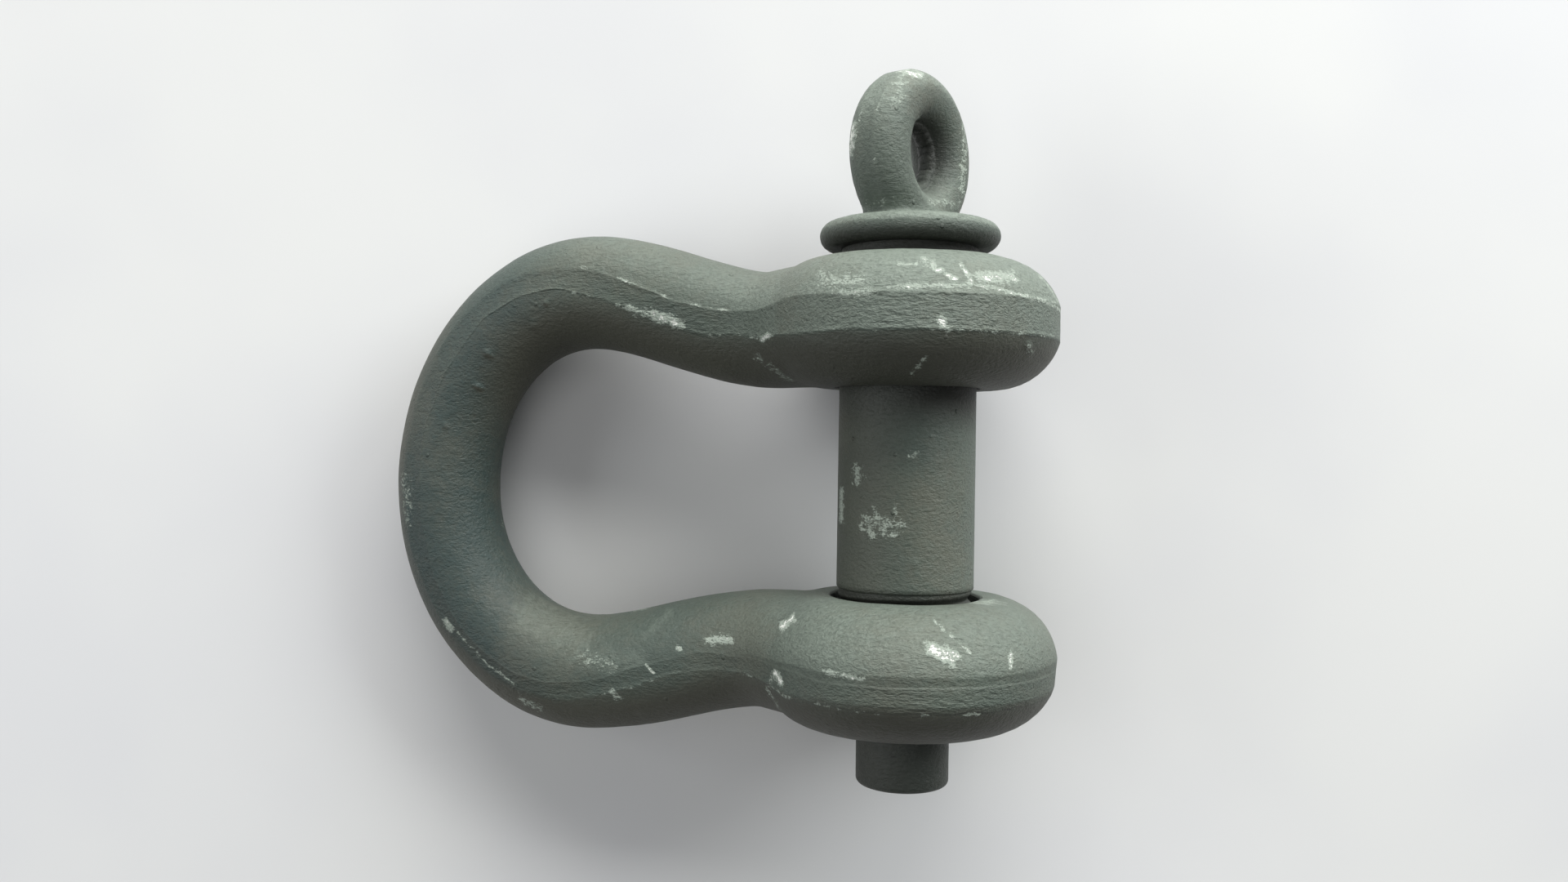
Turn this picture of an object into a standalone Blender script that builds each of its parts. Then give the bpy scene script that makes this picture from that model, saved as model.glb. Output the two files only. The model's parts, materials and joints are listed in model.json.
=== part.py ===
"""Forged bow shackle with a screw pin, at its real size in metres.

The shackle lies on a flat surface at Z = 0, touching it with the rims of both ears and with the underside of
the crown. +Y runs along the pin toward its eye, and the crown points to -X and slopes down to the surface.
The origin is the middle of the underside of the whole object's box.

The bow is worked out in its own plane first: "out" is the distance from the pin's axis toward the crown,
"side" is the distance from the plane halfway between the ears, and "up" is square to the bow.
"""
import math

import bmesh
import bpy
import numpy as np

MM = 0.001

# Ears: two rounded discs about the pin's axis, with a trimmed flash line round the middle of the rim
JAW_WIDTH = 57.6 * MM
EAR_THICKNESS = 35.2 * MM
EAR_RADIUS = 41.4 * MM
EAR_FLASH_CUT = 0.65 * MM

# Bar of the bow, measured on its centreline; the bend came out a little narrower on the tapped ear's side
PIN_TO_CROWN = 137.3 * MM
CROWN_DEPTH = 45.6 * MM
EYE_SIDE_HALF_WIDTH = 56.3 * MM
TAPPED_SIDE_HALF_WIDTH = 54.5 * MM
NECK_START = 25.0 * MM
NECK_END = 42.0 * MM
LEG_START = 37.0 * MM
NECK_INSET = 1.2 * MM
LEG_RADIUS = 16.4 * MM
CROWN_RADIUS = 14.8 * MM
BAR_FLASH_CUT = 0.28 * MM
FILLET = 14.0 * MM

# Screw pin, measured from the plane halfway between the ears
SHANK_RADIUS = 19.05 * MM
SHANK_START = -26.8 * MM
THREAD_RADIUS = 18.5 * MM
THREAD_END = -60.6 * MM
PILOT_RADIUS = 12.9 * MM
PILOT_END = -81.1 * MM
COLLAR_UNDERSIDE = 67.4 * MM
COLLAR_THICKNESS = 7.2 * MM
COLLAR_RADIUS = 25.1 * MM

# Eye of the pin: an oval ring of oval bar that stands on the collar
EYE_CENTRE = 93.4 * MM
EYE_HALF_WIDTH = 15.6 * MM
EYE_HALF_HEIGHT = 16.6 * MM
EYE_BAR_IN_PLANE = 7.5 * MM
EYE_BAR_ACROSS = 8.4 * MM
EYE_TURN = math.radians(52.0)

# Holes in the ears
PLAIN_HOLE_RADIUS = 19.85 * MM
TAPPED_HOLE_RADIUS = 18.85 * MM
COUNTERBORE_RADIUS = 20.6 * MM
COUNTERBORE_DEPTH = 4.5 * MM

# The gap left between the pin's head and its shank, and how far cutters run past the metal
JOIN_GAP = 0.3 * MM
CUTTER_PAST = 5.0 * MM

# Mesh density
EAR_STATIONS = 7
LEG_STATIONS = 22
FAN_STEPS = 14
TURNED_STEPS = 48
EYE_STEPS = 32
EYE_BAR_STEPS = 16
SECTION_ANGLES = (0, 18, 36, 53.9, 62, 69, 76, 83.5, 96.5, 104, 111, 118, 126.1, 144, 162, 180)

EAR_MIDDLE = JAW_WIDTH / 2 + EAR_THICKNESS / 2
TILT = math.asin((EAR_RADIUS - CROWN_RADIUS) / PIN_TO_CROWN)
BOX_MIN_X = -PIN_TO_CROWN * math.cos(TILT) - CROWN_RADIUS
PIN_X = -(BOX_MIN_X + EAR_RADIUS) / 2
EYE_TOP = EYE_CENTRE + EYE_HALF_HEIGHT + EYE_BAR_IN_PLANE
MIDDLE_Y = -(EYE_TOP + PILOT_END) / 2
PIN_CENTRE = (PIN_X, MIDDLE_Y, EAR_RADIUS)

OLIVE_PAINT = (0.105, 0.118, 0.090, 1.0)
PIN_PAINT = (0.098, 0.110, 0.084, 1.0)


def clear_scene():
    for item in list(bpy.data.objects):
        bpy.data.objects.remove(item, do_unlink=True)


def paint(name, colour, roughness, metallic):
    material = bpy.data.materials.new(name)
    material.use_nodes = True
    shader = material.node_tree.nodes["Principled BSDF"]
    shader.inputs["Base Color"].default_value = colour
    shader.inputs["Roughness"].default_value = roughness
    shader.inputs["Metallic"].default_value = metallic
    return material


def bow_paint():
    return paint("bow_olive_paint", OLIVE_PAINT, 0.62, 0.0)


def shank_paint():
    return paint("shank_olive_paint", PIN_PAINT, 0.60, 0.0)


def head_paint():
    return paint("head_olive_paint", PIN_PAINT, 0.64, 0.0)


def add_object(name, points, faces, material=None):
    mesh = bpy.data.meshes.new(name)
    mesh.from_pydata([tuple(point) for point in points], [], faces)
    form = bmesh.new()
    form.from_mesh(mesh)
    bmesh.ops.recalc_face_normals(form, faces=form.faces)
    form.to_mesh(mesh)
    form.free()
    mesh.shade_smooth()
    mesh.set_sharp_from_angle(angle=math.radians(40))
    item = bpy.data.objects.new(name, mesh)
    bpy.context.collection.objects.link(item)
    if material:
        mesh.materials.append(material)
    return item


def smooth_step(value, start, end):
    x = np.clip((value - start) / (end - start), 0.0, 1.0)
    return x * x * (3 - 2 * x)


def blended(first, second, width):
    """The smaller of two gaps, rounded where they meet, so that two shapes join with a fillet."""
    share = np.clip(0.5 + 0.5 * (second - first) / width, 0.0, 1.0)
    return second * (1 - share) + first * share - width * share * (1 - share)


def leg_stations(half_width, ear_count, leg_count):
    """Centreline of half the bow, from the pin's axis to the crown: out, side and the bar's direction."""
    bend_start = PIN_TO_CROWN - CROWN_DEPTH
    straight = np.linspace(0.0, bend_start, 500)
    neck_side = EAR_MIDDLE - NECK_INSET * smooth_step(straight, NECK_START, NECK_END)
    swell = half_width - EAR_MIDDLE + NECK_INSET
    leg_side = neck_side + swell * smooth_step(straight, LEG_START, bend_start)
    turn = np.linspace(0.0, math.pi / 2, 400)[1:]
    out = np.concatenate([straight, bend_start + CROWN_DEPTH * np.sin(turn)])
    side = np.concatenate([leg_side, half_width * np.cos(turn)])
    run = np.concatenate([[0.0], np.cumsum(np.hypot(np.diff(out), np.diff(side)))])
    in_ear = np.linspace(0.0, EAR_RADIUS, ear_count)[:-1]
    places = np.concatenate([in_ear, np.linspace(EAR_RADIUS, run[-1], leg_count)])
    centre = np.column_stack([np.interp(places, run, out), np.interp(places, run, side)])
    heading = np.column_stack([
        np.interp(places, run, np.gradient(out, run)),
        np.interp(places, run, np.gradient(side, run))])
    heading /= np.linalg.norm(heading, axis=1)[:, None]
    heading[0] = (1.0, 0.0)
    heading[-1] = (0.0, -1.0)
    return centre, heading


def bow_gap(reach, angle, centre, heading):
    """Gap from the metal to a point at a reach and an angle in the station's own cross-section."""
    across = reach * np.cos(angle)
    up = reach * np.sin(angle)
    run = centre[..., 0]
    out = run + heading[..., 1] * across
    narrowing = smooth_step(run, PIN_TO_CROWN - CROWN_DEPTH, PIN_TO_CROWN)
    bar_radius = LEG_RADIUS + (CROWN_RADIUS - LEG_RADIUS) * narrowing
    in_bar = smooth_step(run, 0.5 * EAR_RADIUS, 1.1 * EAR_RADIUS)
    half_thickness = EAR_THICKNESS / 2 + (bar_radius - EAR_THICKNESS / 2) * in_bar
    flash_cut = EAR_FLASH_CUT + (BAR_FLASH_CUT - EAR_FLASH_CUT) * in_bar
    fillet = 0.01 * MM + FILLET * smooth_step(run, 0.5 * EAR_RADIUS, 0.9 * EAR_RADIUS)
    disc = np.hypot(out, up) - EAR_RADIUS - EAR_FLASH_CUT
    outline = blended(disc, np.abs(up) - bar_radius, fillet)
    rounded = np.hypot(np.maximum(outline + half_thickness, 0.0), across) - half_thickness
    return np.maximum(rounded, outline + flash_cut)


def reach_to_surface(angle, centre, heading):
    """How far the metal reaches from the centreline, found by halving the search range."""
    low = np.full(np.broadcast_shapes(angle.shape, centre.shape[:-1]), 0.5 * CROWN_RADIUS)
    high = np.full(low.shape, 1.3 * EAR_RADIUS)
    for _ in range(40):
        middle = (low + high) / 2
        inside = bow_gap(middle, angle, centre, heading) < 0
        low = np.where(inside, middle, low)
        high = np.where(inside, high, middle)
    return (low + high) / 2


def bow_mesh(ear_count, leg_count, fan_steps, section_angles):
    """Points and faces of the solid bow: a swept bar, with each ear closed by a half turn about the pin."""
    upper = np.radians(section_angles)
    angles = np.concatenate([upper, -upper[-2:0:-1]])
    around = len(angles)
    halves = []
    for half_width, sign in ((EYE_SIDE_HALF_WIDTH, 1), (TAPPED_SIDE_HALF_WIDTH, -1)):
        centre, heading = leg_stations(half_width, ear_count, leg_count)
        reach = reach_to_surface(angles[None, :], centre[:, None, :], heading[:, None, :])
        across = reach * np.cos(angles)
        out = centre[:, :1] + heading[:, 1:] * across
        side = centre[:, 1:] - heading[:, :1] * across
        halves.append(np.stack([-out, sign * side, reach * np.sin(angles)], axis=2))
    rings = np.concatenate([halves[0], halves[1][-2::-1]])
    points = [tuple(point) for ring in rings for point in ring]
    ring_count = len(rings)
    faces = []
    for ring in range(ring_count - 1):
        for step in range(around):
            a = ring * around + step
            b = ring * around + (step + 1) % around
            faces.append((a, a + around, b + around, b))
    last_ring = (ring_count - 1) * around
    half = len(upper) - 1
    for first, sign in ((0, 1), (last_ring, -1)):
        columns = [[first + step for step in range(half + 1)]]
        for fan in range(1, fan_steps):
            turn = math.pi * fan / fan_steps
            column = [first]
            for step in range(1, half):
                _, from_side, height = rings[0][step]
                column.append(len(points))
                points.append((height * math.sin(turn), sign * from_side, height * math.cos(turn)))
            columns.append(column + [first + half])
        columns.append([first] + [first + around - step for step in range(1, half)] + [first + half])
        for before, after in zip(columns, columns[1:]):
            for step in range(half):
                corners = [before[step], before[step + 1], after[step + 1], after[step]]
                faces.append(tuple(dict.fromkeys(corners)))
    return points, faces


def turned_mesh(profile, steps):
    """Points and faces of a solid turned about Y from a profile of (along, radius) pairs, low end first."""
    points = [(0.0, profile[0][0], 0.0)]
    for along, radius in profile[1:-1]:
        for step in range(steps):
            turn = 2 * math.pi * step / steps
            points.append((radius * math.sin(turn), along, radius * math.cos(turn)))
    points.append((0.0, profile[-1][0], 0.0))
    rings = len(profile) - 2
    faces = []
    for step in range(steps):
        after = (step + 1) % steps
        faces.append((0, 1 + step, 1 + after))
        for ring in range(rings - 1):
            a = 1 + ring * steps
            faces.append((a + step, a + steps + step, a + steps + after, a + after))
        last = 1 + (rings - 1) * steps
        faces.append((last + step, len(points) - 1, last + after))
    return points, faces


def ring_mesh(steps, bar_steps):
    """Points and faces of the eye's oval ring, which stands in the XY plane."""
    points = []
    for step in range(steps):
        turn = 2 * math.pi * step / steps
        for bar_step in range(bar_steps):
            bar_turn = 2 * math.pi * bar_step / bar_steps
            grow = EYE_BAR_IN_PLANE * math.cos(bar_turn)
            points.append((
                (EYE_HALF_WIDTH + grow) * math.sin(turn),
                EYE_CENTRE + (EYE_HALF_HEIGHT + grow) * math.cos(turn),
                EYE_BAR_ACROSS * math.sin(bar_turn)))
    faces = []
    for step in range(steps):
        for bar_step in range(bar_steps):
            a = step * bar_steps + bar_step
            b = step * bar_steps + (bar_step + 1) % bar_steps
            over = ((step + 1) % steps) * bar_steps - step * bar_steps
            faces.append((a, a + over, b + over, b))
    return points, faces


def helper(item):
    item.hide_render = True
    item.display_type = "WIRE"
    return item


def add_boolean(item, other, operation):
    modifier = item.modifiers.new(operation.lower(), "BOOLEAN")
    modifier.operation = operation
    modifier.object = other
    modifier.solver = "EXACT"


def hole_cutter(name, profile):
    points, faces = turned_mesh([(profile[0][0], 0.0), *profile, (profile[-1][0], 0.0)], TURNED_STEPS)
    return helper(add_object(name, points, faces))


def bow():
    points, faces = bow_mesh(EAR_STATIONS, LEG_STATIONS, FAN_STEPS, SECTION_ANGLES)
    item = add_object("bow", points, faces, bow_paint())
    inner = JAW_WIDTH / 2
    outer = inner + EAR_THICKNESS
    plain = hole_cutter("plain_hole_cutter", [
        (inner - CUTTER_PAST, PLAIN_HOLE_RADIUS),
        (outer + CUTTER_PAST, PLAIN_HOLE_RADIUS)])
    tapped = hole_cutter("tapped_hole_cutter", [
        (-outer - CUTTER_PAST, TAPPED_HOLE_RADIUS),
        (-inner - COUNTERBORE_DEPTH, TAPPED_HOLE_RADIUS),
        (-inner - COUNTERBORE_DEPTH, COUNTERBORE_RADIUS),
        (-inner + CUTTER_PAST, COUNTERBORE_RADIUS)])
    for cutter in (plain, tapped):
        add_boolean(item, cutter, "DIFFERENCE")
        cutter.location = PIN_CENTRE
    item.location = PIN_CENTRE
    item.rotation_euler = (0.0, -TILT, 0.0)
    return item


def pin_shank():
    edge = 1.2 * MM
    points, faces = turned_mesh([
        (PILOT_END, 0.0),
        (PILOT_END, PILOT_RADIUS - edge),
        (PILOT_END + 0.3 * edge, PILOT_RADIUS - 0.3 * edge),
        (PILOT_END + edge, PILOT_RADIUS),
        (THREAD_END, PILOT_RADIUS),
        (THREAD_END, THREAD_RADIUS - 2 * edge),
        (THREAD_END + 2 * edge, THREAD_RADIUS),
        (SHANK_START, THREAD_RADIUS),
        (SHANK_START + 0.5 * edge, SHANK_RADIUS),
        (COLLAR_UNDERSIDE - JOIN_GAP, SHANK_RADIUS),
        (COLLAR_UNDERSIDE - JOIN_GAP, 0.0)], TURNED_STEPS)
    item = add_object("pin_shank", points, faces, shank_paint())
    item.location = PIN_CENTRE
    return item


def pin_head():
    round_edge = COLLAR_THICKNESS / 2
    profile = [(COLLAR_UNDERSIDE, 0.0)]
    for step in range(9):
        turn = math.pi * step / 8
        profile.append((
            COLLAR_UNDERSIDE + round_edge * (1 - math.cos(turn)),
            COLLAR_RADIUS - round_edge + round_edge * math.sin(turn)))
    profile.append((COLLAR_UNDERSIDE + COLLAR_THICKNESS, 0.0))
    points, faces = turned_mesh(profile, TURNED_STEPS)
    item = add_object("pin_head", points, faces, head_paint())
    points, faces = ring_mesh(EYE_STEPS, EYE_BAR_STEPS)
    eye = helper(add_object("eye_ring", points, faces))
    add_boolean(item, eye, "UNION")
    for piece in (item, eye):
        piece.location = PIN_CENTRE
        piece.rotation_euler = (0.0, EYE_TURN, 0.0)
    return item


def main():
    clear_scene()
    bow()
    pin_shank()
    pin_head()


main()
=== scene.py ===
"""Looks of the forged bow shackle with a screw pin: fine meshes over the CAD frame, paint, light and camera.

Everything is in the frame's metres. The bow is worked out in its own plane: "out" is the distance from the
pin's axis toward the crown, "side" the distance from the plane halfway between the ears, "up" square to both.
"""
import json
import math

import bmesh
import bpy
import numpy as np
from mathutils import Matrix, Vector, noise

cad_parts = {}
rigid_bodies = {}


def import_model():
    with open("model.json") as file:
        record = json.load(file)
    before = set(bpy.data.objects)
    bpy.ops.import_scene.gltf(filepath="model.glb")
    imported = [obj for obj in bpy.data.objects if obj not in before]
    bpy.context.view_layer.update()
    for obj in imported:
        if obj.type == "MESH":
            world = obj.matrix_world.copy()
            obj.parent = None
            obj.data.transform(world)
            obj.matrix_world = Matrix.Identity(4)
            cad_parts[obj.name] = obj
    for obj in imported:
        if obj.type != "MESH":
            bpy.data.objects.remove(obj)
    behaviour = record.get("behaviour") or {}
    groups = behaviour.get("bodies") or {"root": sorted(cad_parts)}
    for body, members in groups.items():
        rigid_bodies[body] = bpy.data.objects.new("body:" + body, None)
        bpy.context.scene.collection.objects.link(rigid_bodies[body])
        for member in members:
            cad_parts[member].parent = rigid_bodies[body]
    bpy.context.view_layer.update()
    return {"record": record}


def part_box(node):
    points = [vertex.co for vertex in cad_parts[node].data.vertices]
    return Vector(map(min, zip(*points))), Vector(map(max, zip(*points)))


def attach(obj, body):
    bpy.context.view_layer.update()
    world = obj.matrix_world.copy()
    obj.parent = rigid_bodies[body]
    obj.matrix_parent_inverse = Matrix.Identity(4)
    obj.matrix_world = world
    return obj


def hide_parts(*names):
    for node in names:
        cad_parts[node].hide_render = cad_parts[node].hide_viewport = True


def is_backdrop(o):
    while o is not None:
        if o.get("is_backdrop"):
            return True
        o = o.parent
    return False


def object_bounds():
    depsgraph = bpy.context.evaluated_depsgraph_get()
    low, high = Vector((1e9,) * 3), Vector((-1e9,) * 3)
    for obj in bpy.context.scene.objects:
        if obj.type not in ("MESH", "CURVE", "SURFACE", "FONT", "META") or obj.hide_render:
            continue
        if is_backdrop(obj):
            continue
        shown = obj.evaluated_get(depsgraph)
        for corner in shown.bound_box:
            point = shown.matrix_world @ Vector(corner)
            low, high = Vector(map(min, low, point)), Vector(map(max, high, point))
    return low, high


for item in list(bpy.data.objects):
    bpy.data.objects.remove(item, do_unlink=True)
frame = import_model()

MM = 0.001

# Places read from the frame
shank_low, shank_high = (Vector(corner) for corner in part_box("pin_shank"))
head_low, head_high = (Vector(corner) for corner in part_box("pin_head"))
jaw_faces = [mount["pos_m"][1] for mount in frame["record"]["mounts"] if mount["name"].startswith("jaw_face")]
JAW_WIDTH = max(jaw_faces) - min(jaw_faces)
MIDDLE_Y = (max(jaw_faces) + min(jaw_faces)) / 2
PIN_X = (shank_low.x + shank_high.x) / 2
PIN_Z = (shank_low.z + shank_high.z) / 2
PIN_CENTRE = Vector((PIN_X, MIDDLE_Y, PIN_Z))
SHANK_RADIUS = (shank_high.x - shank_low.x) / 2
PILOT_END = shank_low.y - MIDDLE_Y
COLLAR_UNDERSIDE = head_low.y - MIDDLE_Y
EYE_TOP = head_high.y - MIDDLE_Y
EAR_RADIUS = PIN_Z

# Ears
EAR_THICKNESS = 35.2 * MM
EAR_MIDDLE = JAW_WIDTH / 2 + EAR_THICKNESS / 2
EAR_FLASH_CUT = 0.65 * MM

# Bar of the bow
PIN_TO_CROWN = 137.3 * MM
CROWN_DEPTH = 45.6 * MM
EYE_SIDE_HALF_WIDTH = 56.3 * MM
TAPPED_SIDE_HALF_WIDTH = 54.5 * MM
NECK_START = 25.0 * MM
NECK_END = 42.0 * MM
LEG_START = 37.0 * MM
NECK_INSET = 1.2 * MM
LEG_RADIUS = 16.4 * MM
CROWN_RADIUS = 14.8 * MM
BAR_FLASH_CUT = 0.38 * MM
FILLET = 14.0 * MM
NECK_FLASH_LEAN = math.radians(-6)
CROWN_FLASH_LEAN = math.radians(21)
TAPPED_SIDE_LEAN = math.radians(5)
TAPPED_SIDE_CUT = 0.5
TAPPED_SIDE_INNER_WEAR = 0.2
FLASH_LIP = 0.16 * MM
FORGING_SWELL = 0.16 * MM
TILT = math.asin((EAR_RADIUS - CROWN_RADIUS) / PIN_TO_CROWN)

# Screw pin
SHANK_START = -26.8 * MM
THREAD_RADIUS = 18.5 * MM
THREAD_DEPTH = 2.3 * MM
THREAD_PITCH = 4.233 * MM
THREAD_END = -60.6 * MM
PILOT_RADIUS = 12.9 * MM
PILOT_ROUNDING = 1.6 * MM
THREAD_CHAMFER = 2.2 * MM
COLLAR_THICKNESS = 7.2 * MM
COLLAR_RADIUS = 25.1 * MM
EYE_BAR_IN_PLANE = 7.5 * MM
EYE_BAR_ACROSS = 8.5 * MM
EYE_HALF_WIDTH = 15.7 * MM
EYE_HALF_HEIGHT = 16.6 * MM
EYE_CENTRE = EYE_TOP - EYE_BAR_IN_PLANE - EYE_HALF_HEIGHT
EYE_TURN = math.radians(52)
EYE_FILLET = 4.5 * MM
EYE_BAND_HALF = 2.6 * MM
EYE_BAND_CUT = 0.4 * MM
EYE_LIP = 1.3 * MM

# Holes in the ears
PLAIN_HOLE_RADIUS = 19.85 * MM
TAPPED_HOLE_RADIUS = 18.85 * MM
COUNTERBORE_RADIUS = 20.6 * MM
COUNTERBORE_DEPTH = 4.5 * MM
TAPPED_DEPTH = 1.7 * MM
MOUTH_ROUNDING = 0.9 * MM

# Mesh density
EAR_STATIONS = 70
LEG_STATIONS = 300
FAN_STEPS = 200
SECTION_STEPS = 84
TURNED_STEPS = 160
COLLAR_RIM_STEPS = 12
EYE_STEPS = 120
EYE_BAR_STEPS = 48
HEAD_VOXEL = 0.42 * MM

# Paint colours, linear
# Paler olive: painted light on the sides that face the lamps, with some dust and painted sheens, and the
# paler worn edges of the flash
PAINTED_LIGHT_DUST_AND_WEAR_OLIVE = (0.185, 0.218, 0.182, 1.0)
OLIVE = (0.062, 0.079, 0.062, 1.0)
COOL_OLIVE = (0.028, 0.046, 0.043, 1.0)
DARK_OLIVE = (0.032, 0.041, 0.032, 1.0)
# Brown painted shade, on the sides of the bow and the shank that face away from the lamps
BROWN_PAINTED_SHADE = (0.072, 0.070, 0.052, 1.0)
# Near-black painted shade: in the bores, on the ears' sides facing -Y, on the shank by the ears, on the
# thread and pilot, under the collar, inside the eye and in the pilot's pits
PAINTED_SHADE_BLACK = (0.020, 0.021, 0.017, 1.0)
BROWN_DUST = (0.118, 0.108, 0.078, 1.0)
RUBBED_PAINT = (0.38, 0.43, 0.37, 1.0)
CHIPPED_PAINT = (0.72, 0.74, 0.68, 1.0)

# Marks that handling has left, each from one place to another as seen from above:
# x, y, x, y and width in millimetres, then strength
BOW_MARKS = {
    "eye ear, scuffs over the trimmed edge": (29, 36, 38, 36, 2.2, 0.55),
    "eye ear, specks by the neck": (28.5, 38.5, 33.5, 32.5, 2.0, 0.5),
    "eye ear, specks on the edge": (33.5, 32.5, 41.5, 33, 1.5, 0.6),
    "eye ear, bright spot": (54.5, 41, 56, 40.3, 1.3, 1.0),
    "eye ear, short dashes": (47.5, 40.3, 52, 40.3, 0.8, 0.8),
    "eye ear, first scratch": (55.5, 39.7, 61.5, 36, 0.75, 1.0),
    "eye ear, second scratch": (63, 40.7, 65.7, 35.5, 0.75, 1.0),
    "eye ear, worn patch": (68, 37, 77, 38, 2.3, 0.8),
    "eye ear, upper edge": (45, 33.8, 68, 34.7, 0.8, 0.7),
    "eye ear, upper edge at the right": (68, 34.7, 94, 31.5, 0.7, 0.75),
    "eye ear, rounded rim": (86, 41, 92.5, 34, 1.0, 0.6),
    "eye ear, chip on the lower edge": (58, 25.6, 59.6, 24, 1.3, 0.95),
    "eye ear, specks below": (81.4, 21, 82.7, 19.5, 1.3, 0.6),
    "eye ear, pale scratch below": (55, 17.3, 51.5, 12.5, 0.7, 0.55),
    "tapped ear, large chip": (57, -55.4, 62.5, -57.3, 2.0, 1.0),
    "tapped ear, thin scratch": (58.5, -49.6, 67, -56.5, 0.5, 0.8),
    "tapped ear, dash by the neck": (19.8, -53.8, 23, -51.3, 0.9, 1.0),
    "tapped ear, chip by the neck": (18.5, -65.3, 19.8, -67, 1.2, 1.0),
    "tapped ear, streak": (30.5, -62.2, 40.4, -63.2, 0.9, 0.65),
    "tapped ear, dash": (77.9, -57.3, 77.7, -60.7, 0.7, 0.9),
    "tapped ear, neck edge above": (18.5, -64.8, 16.4, -70.8, 0.9, 0.5),
    "tapped ear, neck edge below": (16.4, -70.8, 19.7, -76, 0.9, 0.5),
    "upper leg, start of the scrape": (-24, 31.7, -17, 30.1, 1.4, 0.6),
    "upper leg, scrape": (-17, 30.1, -9.6, 27.3, 1.8, 0.85),
    "upper leg, two chips": (13.7, 22.7, 15.2, 23.4, 1.0, 1.0),
    "upper leg, faint diagonal": (11.6, 18.5, 23, 10.9, 1.2, 0.45),
    "crown, rubbed side": (-91.0, -17.0, -89.6, -30.0, 2.6, 0.42),
    "lower bend, scuff": (-77.5, -58, -76, -60.3, 1.3, 0.8),
    "lower bend, edge above": (-73.5, -61, -64.6, -69.4, 0.6, 0.6),
    "lower bend, edge below": (-64.6, -69.4, -55.9, -74.9, 0.6, 0.6),
    "lower bend, specks": (-53.8, -79.6, -49, -81.8, 1.6, 0.6),
    "lower leg, worn patch": (-35.6, -66.2, -27.6, -67.9, 2.4, 0.42),
    "lower leg, dash": (-17.7, -67.2, -15.3, -69.4, 0.5, 0.8),
    "lower leg, chips by the neck": (0, -59.6, 5.6, -58.8, 1.6, 0.7),
    "lower leg, dot": (-8.7, -62.1, -8, -62.3, 0.8, 0.9),
    "lower leg, chips below": (-27.1, -75.4, -25.5, -77.3, 1.3, 0.6),
}
# Painted sheens: soft pale patches of painted light on the bow, given in the same way
BOW_SHEENS = {
    "lower leg": (-53, -56, -38.5, -62.2, 5.0, 0.5),
    "lower leg, streak": (-18.8, -59.6, -11.9, -53.6, 1.6, 0.35),
    "lower leg, specks": (-33, -66, -20, -66, 3.0, 0.3),
}
# Marks on the pin's shank
SHANK_MARKS = {
    "worn patch, across": (41.5, -25.4, 51.5, -26.4, 1.7, 0.6),
    "worn patch, lower left": (41, -27.2, 44, -29.3, 1.7, 0.62),
    "worn patch, lower middle": (46, -28, 48.5, -29, 1.5, 0.58),
    "worn patch, upper middle": (44.5, -21.5, 45, -24, 1.1, 0.48),
    "worn patch, upper right": (49.3, -20.5, 49.5, -23.5, 1.0, 0.52),
    "spot": (39.5, -11.3, 39.8, -15.2, 1.8, 0.55),
    "left side": (35.8, -17.3, 35.8, -26.3, 0.8, 0.7),
    "speck": (52.6, -7.9, 55.1, -7.2, 0.6, 0.8),
}
# Lumps of grit under the paint
BOW_NIBS = {
    "first on the upper bend": (-48.2, 33.7, -48, 33.5, 0.7, 0.8),
    "second on the upper bend": (-51.7, 27.4, -51.9, 27.2, 0.8, 0.7),
    "third on the upper bend": (-65.6, 19.5, -65.3, 19.3, 0.9, 1.0),
    "fourth on the upper bend": (-68.8, 9.9, -68.3, 9.8, 0.8, 1.0),
    "on the crown": (-78.1, -1.7, -78, -1.9, 0.6, 0.7),
    "ridge on the upper ear": (81.4, 21, 82.7, 19.5, 0.8, 0.6),
}
SHANK_NIBS = {
    "left": (50.3, -36.4, 50.5, -36.5, 0.5, 0.9),
    "right": (54.6, -36.3, 54.8, -36.4, 0.6, 0.8),
    "by the speck": (66, -3.5, 66.3, -4, 0.7, 0.6),
    "lower right": (68, -18, 68.5, -18.4, 0.7, 0.7),
}
# Pits in the pin's pilot tip, painted dark as the shade inside them
PILOT_PITS = {
    "left": (43.4, -89.7, 43.5, -89.5, 0.45, 1.0),
    "middle": (49.4, -88.6, 50.6, -88.9, 0.6, 1.0),
    "middle below": (50.8, -90.6, 51.2, -90.8, 0.4, 1.0),
    "right": (53.4, -86.8, 53.6, -87, 0.4, 1.0),
}
# Marks on the pin's eye and collar
HEAD_MARKS = {
    "rub on the ring's side": (36, 73, 36.6, 80.5, 1.5, 0.95),
    "worn front of the ring": (47.6, 86, 49.5, 93, 2.8, 0.5),
    "top of the ring": (50.5, 96, 55, 96, 2.0, 0.85),
    "specks on the far limb": (69.5, 66.6, 70, 88, 2.0, 0.5),
    "fillet by the far limb": (59, 62, 68, 63, 2.2, 0.42),
    "fillet by the near limb": (38, 59, 48, 60, 1.4, 0.4),
}
NIB_HEIGHT = 0.6 * MM
MARK_WOBBLE = 0.6
UNSEEN_WEAR = 0.6
UNSEEN_WEAR_SIZE = 13 * MM

# Camera and floor
CAMERA_OFFSET = Vector((-34.3 * MM, 13.7 * MM, 342.2 * MM))
CAMERA_ROLL = math.radians(0.87)
CAMERA_LENS = 28.12
FLOOR_SIZE = 4.4
FLOOR_COOL = (0.63, 0.63, 0.64, 1.0)
FLOOR_WARM = (0.68, 0.68, 0.67, 1.0)

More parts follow.
